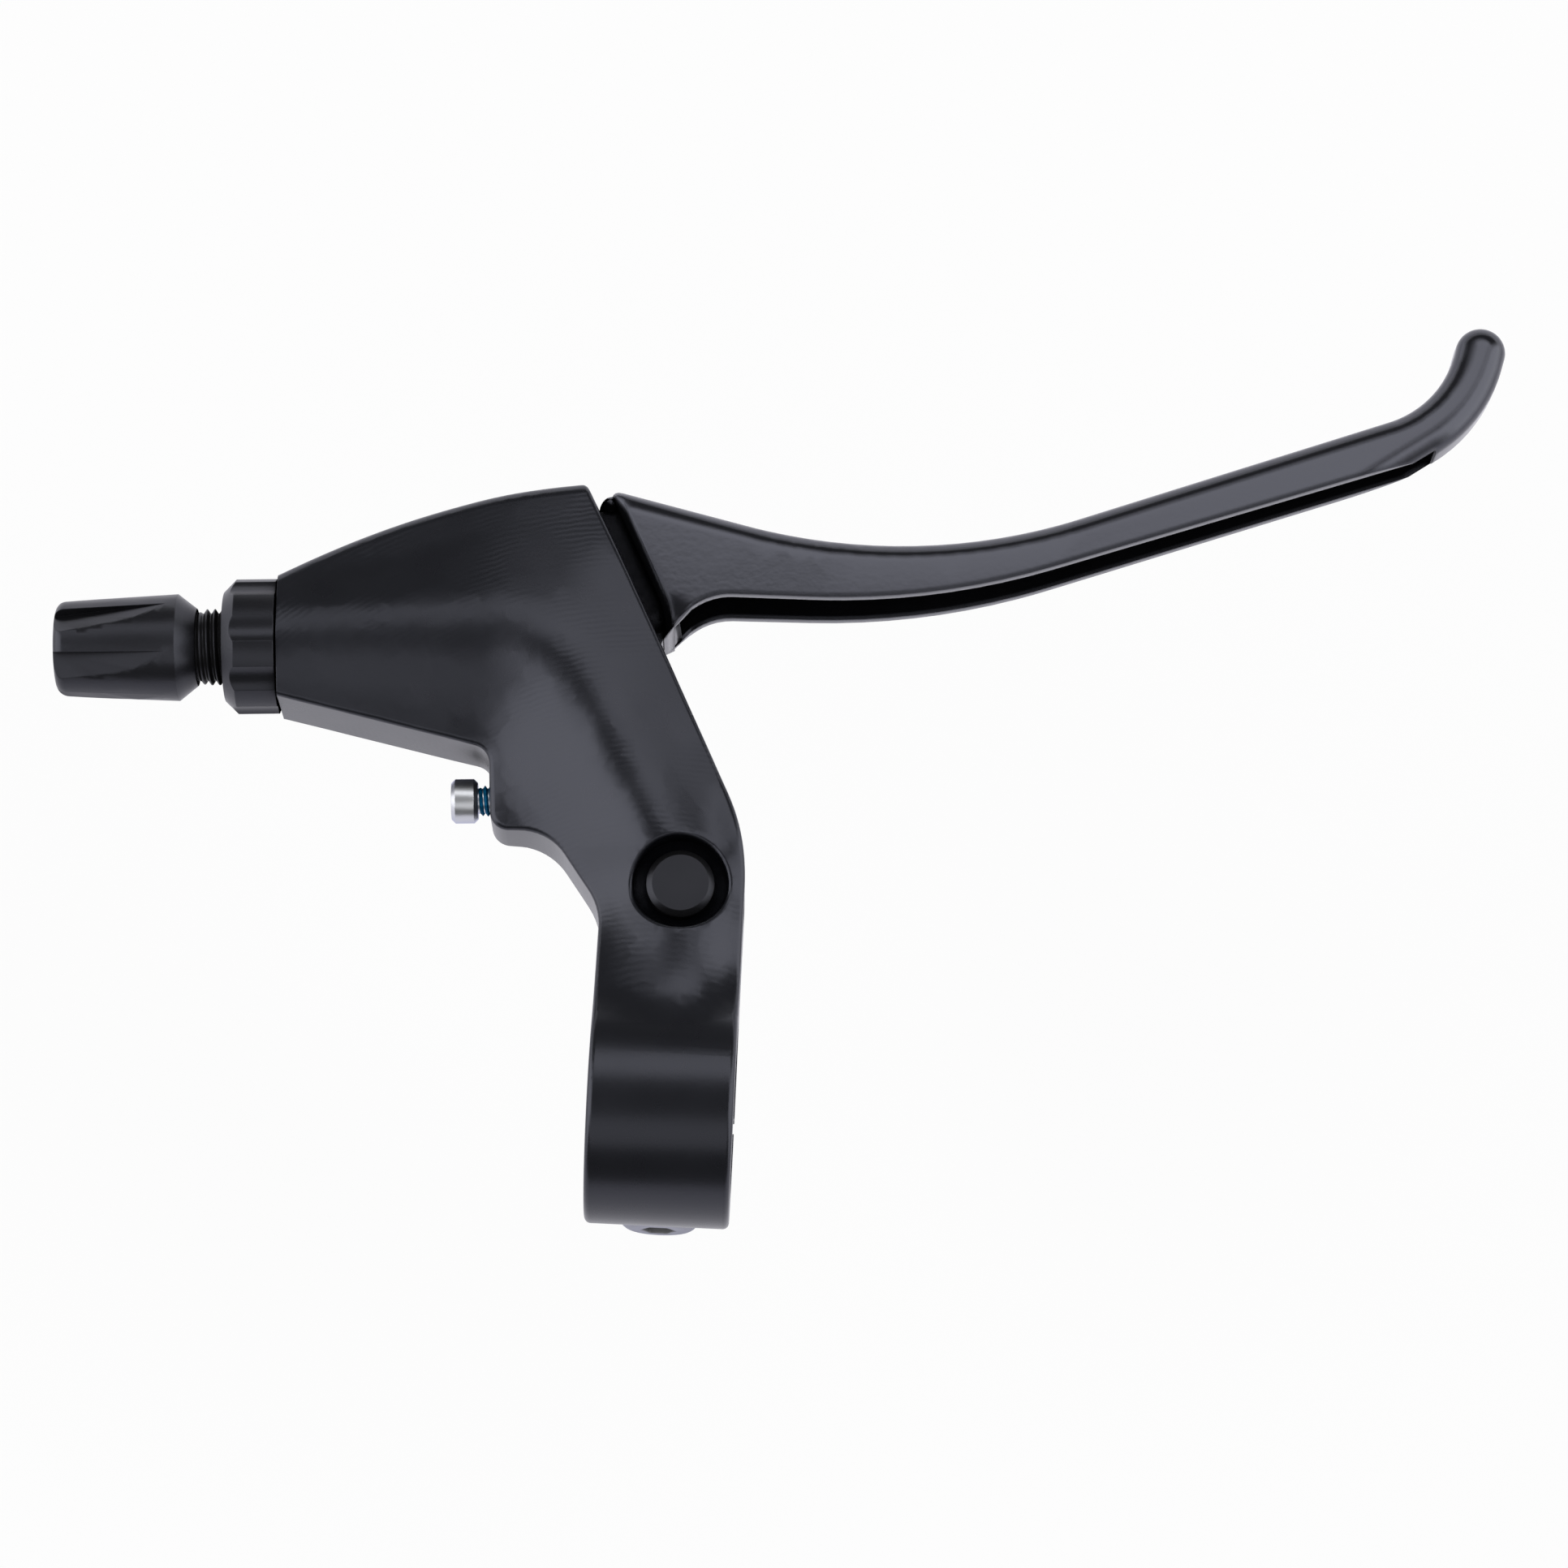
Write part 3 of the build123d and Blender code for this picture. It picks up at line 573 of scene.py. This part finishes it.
@dataclass
class Screw(Skin):
    """Copy of a CAD screw with its plain shank turned down and wound with a thread."""

    origin: Vector = field(default_factory=Vector)
    way: Vector = field(default_factory=lambda: Vector((0, 0, 1)))
    crest: float = 3.0 * MM
    depth: float = 0.55 * MM
    pitch: float = 1.0 * MM
    thread_finish: Finish = BLACK_PLATING
    slack: float = 0.02 * MM
    sides: int = 64
    rows_per_pitch: int = 8

    def height(self, point: Vector) -> float:
        """Distance of a point from the screw's origin along its axis."""
        return (point - self.origin).dot(self.way)

    def on_shank(self, point: Vector) -> bool:
        """Whether a point is on the plain shank of the CAD solid."""
        return abs((point - self.origin).cross(self.way).length - self.crest) < self.slack

    def reshape(self, work: bmesh.types.BMesh) -> None:
        """Turn the shank down to just above the thread's root.

        Args:
            work: The welded copy.
        """
        root = self.crest - self.depth + self.slack
        for vert in work.verts:
            if self.on_shank(vert.co):
                foot = self.origin + self.way * self.height(vert.co)
                vert.co = foot + (vert.co - foot).normalized() * root

    def dress(self) -> bpy.types.Object:
        """Put the turned copy and its thread in the scene in place of the node.

        Returns:
            The finished copy, without the thread.
        """
        corners = [vert.co for vert in frame["nodes"][self.node].data.vertices]
        heights = [self.height(corner) for corner in corners if self.on_shank(corner)]
        mesh = self.thread(max(heights) - min(heights))
        turn = Vector((0, 0, 1)).rotation_difference(self.way).to_matrix().to_4x4()
        mesh.transform(Matrix.Translation(self.origin + self.way * min(heights)) @ turn)
        self.settle(bpy.data.objects.new(self.node + "_thread", mesh))
        return super().dress()

    def thread(self, length: float) -> bpy.types.Mesh:
        """Wind a thread round the Z axis, from the origin upwards.

        Args:
            length: Length of the shank in metres.

        Returns:
            The thread as a plain mesh.
        """
        tree = bpy.data.node_groups.get(THREAD_TREE) or thread_tree()
        holder = bpy.data.objects.new(self.node + "_holder", bpy.data.meshes.new(self.node + "_holder"))
        bpy.context.scene.collection.objects.link(holder)
        modifier = holder.modifiers.new("thread", "NODES")
        modifier.node_group = tree
        sizes = {
            "Crest": self.crest - self.slack,
            "Depth": self.depth,
            "Pitch": self.pitch,
            "Length": length,
            "Sides": self.sides + 1,
            "Rows": round(length / self.pitch * self.rows_per_pitch) + 1,
            "Material": self.thread_finish.material(),
        }
        for item in tree.interface.items_tree:
            if item.name in sizes:
                modifier[item.identifier] = sizes[item.name]
        evaluated = holder.evaluated_get(bpy.context.evaluated_depsgraph_get())
        mesh = bpy.data.meshes.new_from_object(evaluated)
        mesh.name = self.node + "_thread"
        bpy.data.objects.remove(holder)
        return mesh


def thread_tree() -> Tree:
    """Node tree of a screw thread: a sheet rolled round the Z axis, with a ridge that winds along it.

    Returns:
        The tree, with named inputs for the thread's sizes and its material.
    """
    tree = bpy.data.node_groups.new(THREAD_TREE, "GeometryNodeTree")
    for name in ("Crest", "Depth", "Pitch", "Length"):
        tree.interface.new_socket(name, in_out="INPUT", socket_type="NodeSocketFloat")
    for name in ("Sides", "Rows"):
        tree.interface.new_socket(name, in_out="INPUT", socket_type="NodeSocketInt")
    tree.interface.new_socket("Material", in_out="INPUT", socket_type="NodeSocketMaterial")
    tree.interface.new_socket("Geometry", in_out="OUTPUT", socket_type="NodeSocketGeometry")
    sizes = tree.nodes.new("NodeGroupInput")
    sheet = tree.nodes.new("GeometryNodeMeshGrid")
    for side, count in (("X", "Sides"), ("Y", "Rows")):
        sheet.inputs["Size " + side].default_value = 2 * SHEET_HALF
        tree.links.new(sizes.outputs[count], sheet.inputs["Vertices " + side])
    rolled = tree.nodes.new("GeometryNodeSetPosition")
    tree.links.new(sheet.outputs["Mesh"], rolled.inputs["Geometry"])
    tree.links.new(thread_place(tree, sizes), rolled.inputs["Position"])
    last = rolled.outputs["Geometry"]
    for kind in ("MergeByDistance", "SetShadeSmooth", "RealizeInstances", "SetMaterial"):
        node = tree.nodes.new("GeometryNode" + kind)
        tree.links.new(last, node.inputs["Geometry"])
        last = node.outputs["Geometry"]
        if kind == "MergeByDistance":
            node.inputs["Distance"].default_value = THREAD_WELD
        if kind == "SetMaterial":
            tree.links.new(sizes.outputs["Material"], node.inputs["Material"])
    tree.links.new(last, tree.nodes.new("NodeGroupOutput").inputs["Geometry"])
    return tree


def thread_place(tree: Tree, sizes: bpy.types.Node) -> Socket:
    """Place of each point of the flat sheet once it is rolled up to a thread.

    Args:
        tree: The thread's node tree.
        sizes: The node that gives the tree's inputs.

    Returns:
        The socket of the place.
    """
    crest, depth, pitch, length = (sizes.outputs[name] for name in ("Crest", "Depth", "Pitch", "Length"))
    flat = tree.nodes.new("ShaderNodeSeparateXYZ")
    tree.links.new(tree.nodes.new("GeometryNodeInputPosition").outputs["Position"], flat.inputs["Vector"])
    turn = maths(tree, "ADD", flat.outputs["X"], SHEET_HALF)
    climb = maths(tree, "MULTIPLY", maths(tree, "ADD", flat.outputs["Y"], SHEET_HALF), length)
    phase = maths(tree, "FRACT", maths(tree, "SUBTRACT", maths(tree, "DIVIDE", climb, pitch), turn))
    flank = maths(tree, "ABSOLUTE", maths(tree, "MULTIPLY_ADD", phase, 2.0, -1.0))
    ridge = maths(tree, "MULTIPLY_ADD", flank, FLANK_GAIN, (1 - FLANK_GAIN) / 2, clamp=True)
    to_end = maths(tree, "MINIMUM", climb, maths(tree, "SUBTRACT", length, climb))
    run_out = maths(tree, "DIVIDE", to_end, pitch, clamp=True)
    raised = maths(tree, "MULTIPLY", maths(tree, "MULTIPLY", ridge, run_out), depth)
    radius = maths(tree, "ADD", maths(tree, "SUBTRACT", crest, depth), raised)
    angle = maths(tree, "MULTIPLY", turn, math.tau)
    place = tree.nodes.new("ShaderNodeCombineXYZ")
    tree.links.new(maths(tree, "MULTIPLY", radius, maths(tree, "COSINE", angle)), place.inputs["X"])
    tree.links.new(maths(tree, "MULTIPLY", radius, maths(tree, "SINE", angle)), place.inputs["Y"])
    tree.links.new(climb, place.inputs["Z"])
    return place.outputs["Vector"]


@dataclass
class Bracket:
    """Cast bracket with its clamp bolt, its pivot pin and the pin's clip."""

    bolt_radius: float = 3.0 * MM
    bolt_way: tuple[float, float, float] = (0.0, 1.0, 0.0)

    def build(self) -> None:
        """Dress the casting and the steel pieces that are fixed in it."""
        Skin("bracket", "bracket", "bracket_black", SATIN_BLACK).dress()
        Skin("pivot_axle", "bracket", "axle_black", MATTE_BLACK).dress()
        Skin("retaining_ring", "bracket", "clip_steel", DULL_STEEL).dress()
        low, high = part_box("clamp_bolt")
        Screw("clamp_bolt", "bracket", "bolt_grey", DULL_STEEL, origin=(low + high) / 2,
              way=Vector(self.bolt_way), crest=self.bolt_radius, thread_finish=DULL_STEEL).dress()


@dataclass
class Lever:
    """Cast lever with its two bushes and the drum for the cable's end."""

    bushes: tuple[str, ...] = ("upper_bush", "lower_bush")

    def build(self) -> None:
        """Dress the casting and what turns with it."""
        blade = Blade("lever_blade", "lever", "lever_black", GLOSS_BLACK)
        blade.dress()
        bead = bpy.data.objects.new("root_bead", Bead(blade.place()).mesh())
        bead.data.materials.append(GLOSS_BLACK.material())
        blade.settle(bead)
        for bush in self.bushes:
            Skin(bush, "lever", "bush_plastic", BUSH_PLASTIC).dress()
        Skin("cable_anchor", "anchor", "anchor_metal", BARE_ALUMINIUM).dress()


@dataclass
class Adjuster:
    """Cable adjuster: hollow threaded bolt, fluted knob and lobed lock nut."""

    shank_radius: float = 4.95 * MM
    thread_depth: float = 0.6 * MM

    def build(self) -> None:
        """Dress the three pieces on the adjuster's axis."""
        origin, way = joint_axis("adjuster_turn")
        Screw("adjuster_bolt", "adjuster", "adjuster_metal", BLACK_PLATING, origin=origin, way=way,
              crest=self.shank_radius, depth=self.thread_depth).dress()
        Skin("adjuster_knob", "adjuster", "knob_plastic", BLACK_PLASTIC).dress()
        Skin("lock_nut", "lock_nut", "nut_plastic", BLACK_PLASTIC).dress()


@dataclass
class ReachScrew:
    """Small socket screw with a blue locking patch that sets the lever's distance from the handlebar."""

    shank_radius: float = 2.0 * MM
    thread_depth: float = 0.4 * MM
    pitch: float = 0.7 * MM

    def build(self) -> None:
        """Dress the screw."""
        origin, way = joint_axis("reach_turn")
        Screw("reach_screw", "reach_screw", "screw_zinc", BRIGHT_ZINC, origin=origin, way=way,
              crest=self.shank_radius, depth=self.thread_depth, pitch=self.pitch,
              thread_finish=BLUE_PATCH).dress()


@dataclass
class Camera:
    """Camera of the photograph: place, aim, roll and focal length."""

    target: tuple[float, float, float] = (13.427 * MM, 42.786 * MM, 0.0)
    distance: float = 650 * MM
    elevation: float = math.radians(75)
    roll: float = math.radians(2.7)
    pixels_per_mm: float = 9.6
    sensor: float = 36.0
    nearest: float = 10 * MM
    farthest: float = 20.0

    def build(self) -> None:
        """Place the camera and make it the scene's."""
        data = bpy.data.cameras.new("photo_camera")
        data.sensor_width = self.sensor
        data.sensor_height = self.sensor
        data.lens = self.pixels_per_mm * self.distance / MM * self.sensor / PHOTO_SIDE
        data.clip_start = self.nearest
        data.clip_end = self.farthest
        camera = bpy.data.objects.new("photo_camera", data)
        tilt = Matrix.Rotation(math.pi / 2 - self.elevation, 4, "X")
        turn = Matrix.Rotation(self.roll, 4, "Z")
        back = Matrix.Translation((0, 0, self.distance))
        camera.matrix_world = Matrix.Translation(self.target) @ tilt @ turn @ back
        bpy.context.scene.collection.objects.link(camera)
        bpy.context.scene.camera = camera


@dataclass(frozen=True)
class Panel:
    """Soft light panel round the object: where it hangs, how far it reaches and how strong it is.

    The angles are in degrees, and the heights are sines of the angle above the horizon.
    """

    heading: float
    half_width: float
    low: float
    high: float
    strength: float
    side_blur: float = 9.0
    end_blur: float = 0.012

    def glow(self, tree: Tree, way: bpy.types.Node) -> Socket:
        """Light that the panel sends from each direction.

        Args:
            tree: The world's node tree.
            way: The node that gives the direction's three parts.

        Returns:
            The socket of the strength.
        """
        x, y, z = (way.outputs[name] for name in "XYZ")
        cosine = math.cos(math.radians(self.heading))
        sine = math.sin(math.radians(self.heading))
        along = maths(tree, "MULTIPLY_ADD", y, sine, maths(tree, "MULTIPLY", x, cosine))
        across = maths(tree, "MULTIPLY_ADD", y, cosine, maths(tree, "MULTIPLY", x, -sine))
        aside = maths(tree, "ABSOLUTE", maths(tree, "ARCTAN2", across, along))
        outer = math.radians(self.half_width + self.side_blur)
        inner = math.radians(self.half_width - self.side_blur)
        lit = ramp(tree, aside, (outer, inner), smooth=True)
        above = ramp(tree, z, (self.low - self.end_blur, self.low + self.end_blur), smooth=True)
        below = ramp(tree, z, (self.high + self.end_blur, self.high - self.end_blur), smooth=True)
        for share in (above, below, self.strength):
            lit = maths(tree, "MULTIPLY", lit, share)
        return lit


@dataclass
class Studio:
    """White table under six soft light panels, with the camera between them."""

    floor_side: float = 6.0
    floor_drop: float = 90 * MM
    shadow_share: float = 0.12
    floor_colour: float = 0.85
    floor_gleam: tuple[float, float, float] = (0.93, 0.92, 1.0)
    fill: float = 0.16
    panels: tuple[Panel, ...] = (
        Panel(heading=75, half_width=35, low=0.75, high=0.957, strength=1.7),
        Panel(heading=90, half_width=60, low=-0.2, high=0.12, strength=1.4, end_blur=0.06),
        Panel(heading=125, half_width=15, low=0.72, high=0.94, strength=0.7),
        Panel(heading=180, half_width=32, low=-0.1, high=0.91, strength=2.2, end_blur=0.05),
        Panel(heading=0, half_width=32, low=-0.1, high=0.91, strength=2.0, end_blur=0.05),
        Panel(heading=255, half_width=50, low=0.62, high=0.92, strength=0.75, end_blur=0.04),
    )

    def build(self) -> None:
        """Set up the floor, the light and the camera."""
        self.floor()
        self.light()
        Camera().build()
        bpy.context.scene.view_settings.view_transform = "Standard"

    def floor(self) -> None:
        """Lay a plain pale floor some way below the object."""
        half = self.floor_side / 2
        low = CAD_BOX[0][2] - self.floor_drop
        mesh = bpy.data.meshes.new("floor")
        corners = [(-half, -half, low), (half, -half, low), (half, half, low), (-half, half, low)]
        mesh.from_pydata(corners, [], [(0, 1, 2, 3)])
        mesh.materials.append(self.floor_material())
        floor = bpy.data.objects.new("floor", mesh)
        bpy.context.scene.collection.objects.link(floor)

    def floor_material(self) -> bpy.types.Material:
        """Pale matte surface that the camera and reflections see as white, with a share of its shadows.

        Returns:
            The floor's material.
        """
        material = bpy.data.materials.new("pale_floor")
        material.use_nodes = True
        tree = material.node_tree
        tree.nodes.remove(tree.nodes["Principled BSDF"])
        lit = tree.nodes.new("ShaderNodeBsdfDiffuse")
        lit.inputs["Color"].default_value = (self.floor_colour,) * 3 + OPAQUE
        path = tree.nodes.new("ShaderNodeLightPath").outputs
        gleam = tree.nodes.new("ShaderNodeMix")
        gleam.data_type = "RGBA"
        gleam.inputs["A"].default_value = self.floor_gleam + OPAQUE
        gleam.inputs["B"].default_value = WHITE
        tree.links.new(path["Is Camera Ray"], gleam.inputs["Factor"])
        white = tree.nodes.new("ShaderNodeEmission")
        tree.links.new(gleam.outputs["Result"], white.inputs["Color"])
        seen = path["Is Camera Ray"]
        for kind in ("Is Glossy Ray", "Is Transmission Ray"):
            seen = maths(tree, "MAXIMUM", seen, path[kind])
        mixed = tree.nodes.new("ShaderNodeMixShader")
        tree.links.new(maths(tree, "MULTIPLY", seen, 1 - self.shadow_share), mixed.inputs["Fac"])
        tree.links.new(lit.outputs["BSDF"], mixed.inputs[1])
        tree.links.new(white.outputs["Emission"], mixed.inputs[2])
        tree.links.new(mixed.outputs["Shader"], tree.nodes["Material Output"].inputs["Surface"])
        return material

    def light(self) -> None:
        """Light the object from the panels over a low fill, before a white background."""
        world = bpy.data.worlds.new("light_panels")
        bpy.context.scene.world = world
        world.use_nodes = True
        tree = world.node_tree
        way = tree.nodes.new("ShaderNodeSeparateXYZ")
        tree.links.new(tree.nodes.new("ShaderNodeTexCoord").outputs["Generated"], way.inputs["Vector"])
        total = self.fill
        for panel in self.panels:
            total = maths(tree, "ADD", total, panel.glow(tree, way))
        seen = tree.nodes.new("ShaderNodeLightPath").outputs["Is Camera Ray"]
        total = maths(tree, "MULTIPLY", total, maths(tree, "SUBTRACT", 1.0, seen))
        background = tree.nodes["Background"]
        background.inputs["Color"].default_value = WHITE
        tree.links.new(maths(tree, "ADD", total, seen), background.inputs["Strength"])


def main() -> None:
    """Build every sub-assembly and the studio."""
    logging.basicConfig(level=logging.INFO)
    for assembly in (Bracket(), Lever(), Adjuster(), ReachScrew(), Studio()):
        assembly.build()
        LOG.info("%s done", type(assembly).__name__)


if __name__ == "__main__":
    main()
